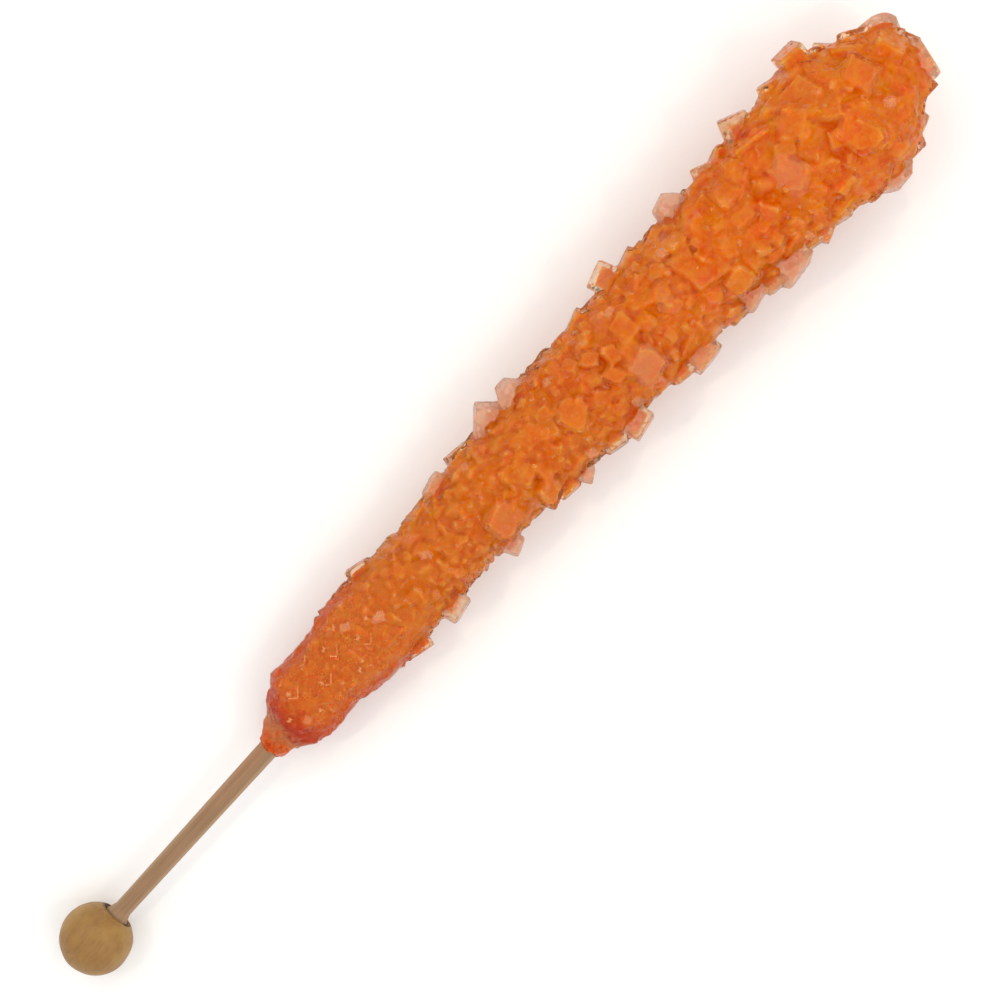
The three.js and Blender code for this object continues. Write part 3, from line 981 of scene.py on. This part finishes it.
# The dyed sugar inside the crystals: how thick the clear skin over it is, and how much thicker on
# a crystal that is clearer. The clearest crystals have none of it.
heart = {
    "skin": 0.66,
    "clearerSkin": 0.4,
    "thickest": 0.34,  # as a share of the crystal's least size
    "clearFrom": 0.95,
    "leastSize": 1.5,
    "underSyrup": [(39.4, 0.15), (44.0, 0.2), (62.0, 0.24), (76.0, 0.4), (182.2, 0.4)],
    "margin": 0.1,
}

crustLook = {
    "pale": screen(255, 244, 226),
    "warm": screen(255, 224, 186),
    # painted highlight: the light colour given to convex crystal edges
    "edge": screen(252, 196, 120),
    "clear": screen(240, 194, 166),
    "collar": screen(244, 168, 104),
    "end": screen(178, 64, 8),
    "endPale": screen(206, 92, 18),
    "facets": 1.4,
    "finish": {
        "IOR": 1.28,
        "Specular IOR Level": 0.3,
        "Subsurface Weight": 1.0,
        "Subsurface Radius": (1.0, 0.6, 0.4),
        "Subsurface Scale": 0.7 * mm,
    },
}


# Small facets, each a little plane that leans its own way, as a height.
def facets(tree, place, scale):
    cells = addNode(tree, "ShaderNodeTexVoronoi", {"Vector": place, "Scale": scale})
    tilt = vectorMath(tree, "SUBTRACT", cells.outputs["Color"], (0.5, 0.5, 0.5))["Vector"]
    here, middle = (
        stretched(tree, spot, (scale, scale, scale)) for spot in (place, cells.outputs["Position"])
    )
    inside = vectorMath(tree, "SUBTRACT", here, middle)["Vector"]
    return vectorMath(tree, "DOT_PRODUCT", tilt, inside)["Value"]


# Where the smooth crust by the handle is, its lower sides painted redder and darker as painted
# shade, and the collar at its end: how far the border wanders, and where it begins and is full.
footMarks = {"foot": (14.0, 80.0, 68.0), "shadedSides": (-4.0, 2.4, 0.2), "collar": (8.0, 51.5, 48.0)}


def footParts(tree, parts, mottle):
    marks = []
    for name, axis in (("foot", "X"), ("shadedSides", "Z"), ("collar", "X")):
        wander, begins, full = footMarks[name]
        place = plus(tree, parts[axis], times(tree, mottle, wander))
        marks.append(spread(tree, place, begins, full))
    foot, shadedSides, collar = marks
    return foot, times(tree, foot, shadedSides), collar


def sugarMaterial():
    material, tree, shader = newMaterial("clearSugar")
    place = stickSpace(tree)
    clear = stored(tree, "clear")
    tone = stored(tree, "tone")
    edge = stored(tree, "edge")
    mottle = cloud(tree, place, 0.5, 3.0, 0.6)
    parts = partsOf(tree, place)
    foot = footParts(tree, parts, mottle)[0]
    look = crustLook
    base = blend(tree, tone, look["pale"], look["warm"])
    # Painted highlight: the crust is lighter and yellower along its convex edges.
    base = blend(tree, edge, base, look["edge"])
    milky = spread(tree, clear, 0.3, 1.0)
    base = blend(tree, milky, base, look["clear"])
    along = plus(tree, parts["X"], times(tree, mottle, 6.0))
    ending = spread(tree, along, 47.0, 43.6)
    grained = spread(tree, cloud(tree, place, 1.5, 3.0, 0.6), 0.4, 0.6)
    base = blend(tree, spread(tree, along, 52.0, 47.0), base, look["collar"])
    base = blend(tree, ending, base, blend(tree, grained, look["end"], look["endPale"]))
    tree.links.new(base, shader.inputs["Base Color"])
    # Painted highlight: the sharpest edges are made cloudier, so their pale colour shows as light
    # lines.
    edgeGlintShare = spread(tree, edge, 0.25, 1.0, 0.0, 0.32)
    cloudy = combine(tree, "MAXIMUM", times(tree, milky, 0.45), edgeGlintShare)
    cloudy = combine(tree, "MAXIMUM", cloudy, ending)
    tree.links.new(combine(tree, "SUBTRACT", 1.0, cloudy), shader.inputs["Transmission Weight"])
    rough = plus(tree, spread(tree, mottle, 0.3, 0.7, 0.1, 0.26), times(tree, foot, 0.12))
    tree.links.new(rough, shader.inputs["Roughness"])
    lumps = times(tree, cloud(tree, place, 0.9, 3.0, 0.55), 0.25)
    faceting = spread(tree, foot, 0.0, 1.0, 1.1, 0.3)
    planes = times(tree, facets(tree, place, look["facets"]), faceting)
    grit = times(tree, cloud(tree, place, 3.2, 3.0, 0.6), times(tree, foot, 0.15))
    height = plus(tree, plus(tree, lumps, planes), grit)
    tree.links.new(bumps(tree, height, 0.7, 1.0), shader.inputs["Normal"])
    setLook(shader, look["finish"])
    return material


heartLook = {
    "deep": screen(242, 126, 0),
    "middle": screen(242, 141, 0),
    "glow": screen(244, 162, 4),
    "dark": screen(234, 90, 0),
    "pale": screen(238, 160, 44),
    # painted highlight: the light colour given to convex edges
    "edge": screen(236, 180, 92),
    "foot": screen(222, 116, 14),
    "ochre": screen(226, 142, 34),
    "speck": screen(150, 56, 6),
    # painted shade for the foot's lower sides
    "sideShade": screen(208, 92, 4),
    "collar": screen(200, 82, 2),
    "low": screen(218, 134, 16),
    # painted shade for the creases between crystals
    "creaseShade": screen(208, 78, 2),
    "fleck": screen(246, 178, 92),
    "finish": {
        "Roughness": 0.5,
        "Specular IOR Level": 0.0,
        "Subsurface Weight": 1.0,
        "Subsurface Radius": (1.0, 0.35, 0.1),
        "Subsurface Scale": 2.0 * mm,
    },
}


def heartMaterial():
    material, tree, shader = newMaterial("dyedSugar")
    place = stickSpace(tree)
    look = heartLook
    broad = cloud(tree, place, 0.13, 2.0)
    mottle = cloud(tree, place, 0.5, 3.0, 0.6)
    fine = cloud(tree, place, 1.5, 3.0, 0.6)
    parts = partsOf(tree, place)
    crease, edge = stored(tree, "crease"), stored(tree, "edge")
    foot, sideShade, collar = footParts(tree, parts, mottle)
    base = blend(tree, spread(tree, broad, 0.35, 0.65), look["deep"], look["middle"])
    base = blend(tree, spread(tree, mottle, 0.46, 0.64, 0.0, 0.85), base, look["glow"])
    base = blend(tree, spread(tree, mottle, 0.42, 0.3, 0.0, 0.6), base, look["dark"])
    base = blend(tree, spread(tree, stored(tree, "tone"), 0.7, 1.0, 0.0, 0.4), base, look["pale"])
    base = blend(tree, spread(tree, fine, 0.35, 0.5, 0.35, 0.0), base, look["dark"])
    base = blend(tree, spread(tree, parts["X"], 150.0, 70.0, 0.0, 0.55), base, look["low"])
    # Painted shade: creases between crystals are darker red.
    base = blend(tree, spread(tree, crease, 0.1, 0.9, 0.0, 0.4), base, look["creaseShade"])
    # Painted highlight: the heart is lighter and yellower along its convex edges.
    base = blend(tree, spread(tree, edge, 0.1, 0.9, 0.0, 0.6), base, look["edge"])
    specks = cloud(tree, place, 3.6, 2.0, 0.6)
    flecks = cloud(tree, place, 2.6, 3.0, 0.65, 1.0)
    base = blend(tree, spread(tree, flecks, 0.58, 0.68, 0.0, 0.7), base, look["fleck"])
    base = blend(tree, spread(tree, flecks, 0.4, 0.3, 0.0, 0.6), base, look["dark"])
    grained = blend(tree, spread(tree, fine, 0.4, 0.6), look["foot"], look["ochre"])
    grained = blend(tree, spread(tree, specks, 0.4, 0.3, 0.0, 0.7), grained, look["fleck"])
    grained = blend(tree, spread(tree, specks, 0.62, 0.72, 0.0, 0.9), grained, look["speck"])
    base = blend(tree, foot, base, grained)
    # Painted shade: the foot is darker red low on its sides.
    base = blend(tree, sideShade, base, look["sideShade"])
    base = blend(tree, collar, base, look["collar"])
    tree.links.new(base, shader.inputs["Base Color"])
    setLook(shader, look["finish"])
    return material


def allCrystals():
    big = standoutCrystals()
    big += scatteredCrystals(crust, big)
    small = [
        crystal for i, crystal in enumerate(scatteredCrystals(grains, []))
        if crystal["place"].x < grains["thinFrom"] or i % 2 == 0
    ]
    crowd = scatteredCrystals(young, [])
    crystals = []
    for kind, rule, name in (
        (big, crust, "big"), (crowd, young, "young"), (small, grains, "small"),
        (surfaceBits(), bits, "on top"),
    ):
        for crystal in kind:
            crystal["bevel"], crystal["segments"] = rule["bevel"], rule["segments"]
        crystals += kind
        print("crystals", name + ":", len(kind))
    return crystals


# The same crystal without its clear skin.
def heartOf(crystal):
    draw = seededDraw(int(abs(crystal["place"].y * 7717) + abs(crystal["place"].z * 1291)))
    draw()
    skin = heart["skin"] * (0.5 + 1.3 * draw() ** 1.5) + heart["clearerSkin"] * crystal["clear"]
    skin = min(skin, min(crystal["size"]) * heart["thickest"])
    return {**crystal, "size": [length - 2 * skin for length in crystal["size"]], "bevel": 0.0}


def sugarMesh(crystals, under, melt, margin=0.0):
    sharp = grownMesh(crystals, under)
    soft = trimmedMesh(meltedMesh(sharp, melt), margin)
    carryMarks(sharp, soft)
    markTurns(soft)
    bpy.data.meshes.remove(sharp)
    return soft


def crustMesh(crystals):
    level = [(0, 0.0), (200, 0.0)]  # the syrup is as high as its own rows say
    return sugarMesh(crystals, level, crustMelt)


def heartMesh(crystals):
    dyed = [
        heartOf(crystal) for crystal in crystals
        if crystal["clear"] < heart["clearFrom"] and min(crystal["size"]) > heart["leastSize"]
    ]
    return sugarMesh(dyed, heart["underSyrup"], heartMelt, heart["margin"])


def makeCandy():
    crystals = allCrystals()
    for name, mesh, material in (
        ("sugarCrust", crustMesh(crystals), sugarMaterial()),
        ("sugarHeart", heartMesh(crystals), heartMaterial()),
    ):
        mesh.transform(toRow)
        mesh.polygons.foreach_set("use_smooth", [True] * len(mesh.polygons))
        mesh.name = name
        addPiece(name, mesh, "candy", material)


makeCandy()
print("candy grown")

# Pale needle crystals on the smooth crust by the handle; their pale colour is painted highlight.
needles = {
    "width": 0.15,
    "proud": 0.0,
    "round": 0.035,
    "dropHeight": 30.0,
    "starSize": 0.85,
    "stars": [  # how far along and to the left
        (45.1, 0.5),
        (49.4, -1.8),
        (48.0, 3.2),
        (52.6, 0.7),
        (56.4, 3.8),
        (57.9, -2.1),
        (61.2, 1.2),
        (59.8, 4.9),
        (64.3, 2.4),
    ],
    "cornerTurn": 42.3,  # which way a corner's first leg points, from the stick to the left
    "corners": [  # how far along and to the left, and the lengths of its legs
        (48.5, 1.8, 1.8, 1.5),
        (52.6, 4.3, 1.6, 1.1),
        (53.3, -0.5, 1.8, 1.3),
        (57.1, 1.7, 1.8, 1.1),
        (61.9, -0.8, 1.7, 1.2),
    ],
    # painted highlight colours of the needles
    "pale": screen(222, 148, 86),
    "warm": screen(216, 126, 56),
}


# Each needle's middle, length and angle.
def needleRows():
    draw = seededDraw(11)
    rows = []
    for along, left in needles["stars"]:
        for i in range(3):
            length = needles["starSize"] * (0.8 + 0.6 * draw())
            rows.append((along, left, length, 60 * i + 40 * draw()))
    for along, left, up, across in needles["corners"]:
        for length, angle in ((up, needles["cornerTurn"]), (across, needles["cornerTurn"] + 90)):
            turn = math.radians(angle)
            middle = along + math.cos(turn) * length / 2, left + math.sin(turn) * length / 2
            rows.append((*middle, length, angle))
    return rows


def needleMaterial():
    material, tree, shader = newMaterial("glintPaleSugar")
    share = spread(tree, cloud(tree, stickSpace(tree), 1.6), 0.4, 0.6)
    base = blend(tree, share, needles["pale"], needles["warm"])
    tree.links.new(base, shader.inputs["Base Color"])
    setLook(shader, {"Roughness": 0.3})
    return material


def makeNeedles():
    ground = bpy.data.objects["sugarCrust"].data
    tree = BVHTree.FromPolygons(
        [vert.co for vert in ground.vertices], [tuple(face.vertices) for face in ground.polygons],
    )
    turned = stickPlace.to_3x3()
    bm = bmesh.new()
    for along, left, length, angle in needleRows():
        above = toRow @ Vector((along, left, needles["dropHeight"]))
        spot, outward, _, _ = tree.ray_cast(above, turned @ Vector((0, 0, -1)))
        turn = math.radians(angle)
        pointing = turned @ Vector((math.cos(turn), math.sin(turn), 0))
        across = outward.cross(pointing).normalized()
        place = Matrix((across.cross(outward), across, outward)).transposed().to_4x4()
        place.translation = spot + outward * needles["proud"] * mm
        size = Matrix.Diagonal((length * mm, needles["width"] * mm, needles["width"] * mm, 1))
        bmesh.ops.create_cube(bm, size=1, matrix=place @ size)
    bmesh.ops.bevel(
        bm, geom=bm.edges[:], offset=needles["round"] * mm, offset_type="OFFSET", segments=1,
        profile=0.5, affect="EDGES", material=-1,
    )
    mesh = meshFrom(bm, "sugarNeedles", False)
    addPiece("sugarNeedles", mesh, "candy", needleMaterial())


makeNeedles()
print("needles laid")

studio = {
    "floorWidth": 4.0,
    "floorDrop": 0.05,
    "paper": {
        "Base Color": (0.97, 0.97, 0.97, 1), "Roughness": 0.9, "Specular IOR Level": 0.1,
    },
    "world": 0.73,
    "panels": {"Right": (-90, 1.15), "Left": (90, 0.95), "Head": (0, 0.5), "Handle": (180, 0.5)},
    "panelHeight": 0.42,
    "panelReach": 0.42,
    "panelWidth": 0.5,
    "sparkWidth": 0.025,
    "sparkRadiance": 60.0,
    "sparkColour": (1, 0.85, 0.6),
    "sparkPlaces": [(0.12, -0.2, 0.42), (-0.16, 0.14, 0.42), (0.22, 0.1, 0.36)],  # for the glints
}


def makeFloor():
    bm = bmesh.new()
    bmesh.ops.create_grid(
        bm, x_segments=1, y_segments=1, size=studio["floorWidth"] / 2,
        matrix=Matrix.Translation((0, 0, -studio["floorDrop"] * mm)),
    )
    floor = bpy.data.objects.new("floor", meshFrom(bm, "floor", False))
    bpy.context.scene.collection.objects.link(floor)
    material, _, shader = newMaterial("whitePaper")
    setLook(shader, studio["paper"])
    floor.data.materials.append(material)


# A lamp that faces the candy.
def addLamp(name, shape, width, radiance, place, colour=(1, 1, 1)):
    light = bpy.data.lights.new(name, "AREA")
    light.color = colour
    light.shape = shape
    light.size = width
    light.energy = radiance * math.pi * width**2
    lamp = bpy.data.objects.new(name, light)
    bpy.context.scene.collection.objects.link(lamp)
    lamp.location = place
    lamp.rotation_euler = (-lamp.location).to_track_quat("-Z", "Y").to_euler()


# A soft panel to one side. Around is 0 at the head and 90 to the left.
def addPanel(name, around, radiance):
    angle = math.radians(around)
    reach = studio["panelReach"]
    place = (math.cos(angle) * reach, math.sin(angle) * reach, studio["panelHeight"])
    addLamp(name, "SQUARE", studio["panelWidth"], radiance, place)


def makeStudio():
    world = bpy.data.worlds.new("softRoom")
    bpy.context.scene.world = world
    world.use_nodes = True
    background = world.node_tree.nodes["Background"]
    background.inputs["Color"].default_value = (1, 1, 1, 1)
    background.inputs["Strength"].default_value = studio["world"]
    for side, (around, radiance) in studio["panels"].items():
        addPanel("panel" + side, around, radiance)
    for i, place in enumerate(studio["sparkPlaces"]):
        addLamp(
            f"spark{i + 1}", "DISK", studio["sparkWidth"], studio["sparkRadiance"], place,
            studio["sparkColour"],
        )
    bpy.context.scene.view_settings.view_transform = "Standard"


cameraPlace = {
    "along": 90.24,
    "sideways": -0.58,
    "height": 430.0,
    "planeHeight": 9.0,
    "frameWidth": 150.0,  # what the picture spans at the plane's height
    "turn": -47.71,
    "sensor": 36,
}


def makeCamera():
    lens = bpy.data.cameras.new("camera")
    lens.sensor_width = cameraPlace["sensor"]
    away = cameraPlace["height"] - cameraPlace["planeHeight"]
    lens.lens = cameraPlace["sensor"] * away / cameraPlace["frameWidth"]
    lens.clip_start = 0.01
    camera = bpy.data.objects.new("camera", lens)
    bpy.context.scene.collection.objects.link(camera)
    under = stickPlace @ (Vector((cameraPlace["along"], cameraPlace["sideways"], 0)) * mm)
    camera.location = (under.x, under.y, cameraPlace["height"] * mm)
    camera.rotation_euler = (0, 0, math.radians(cameraPlace["turn"]))
    bpy.context.scene.camera = camera


makeFloor()
makeStudio()
makeCamera()
print("studio and camera set")
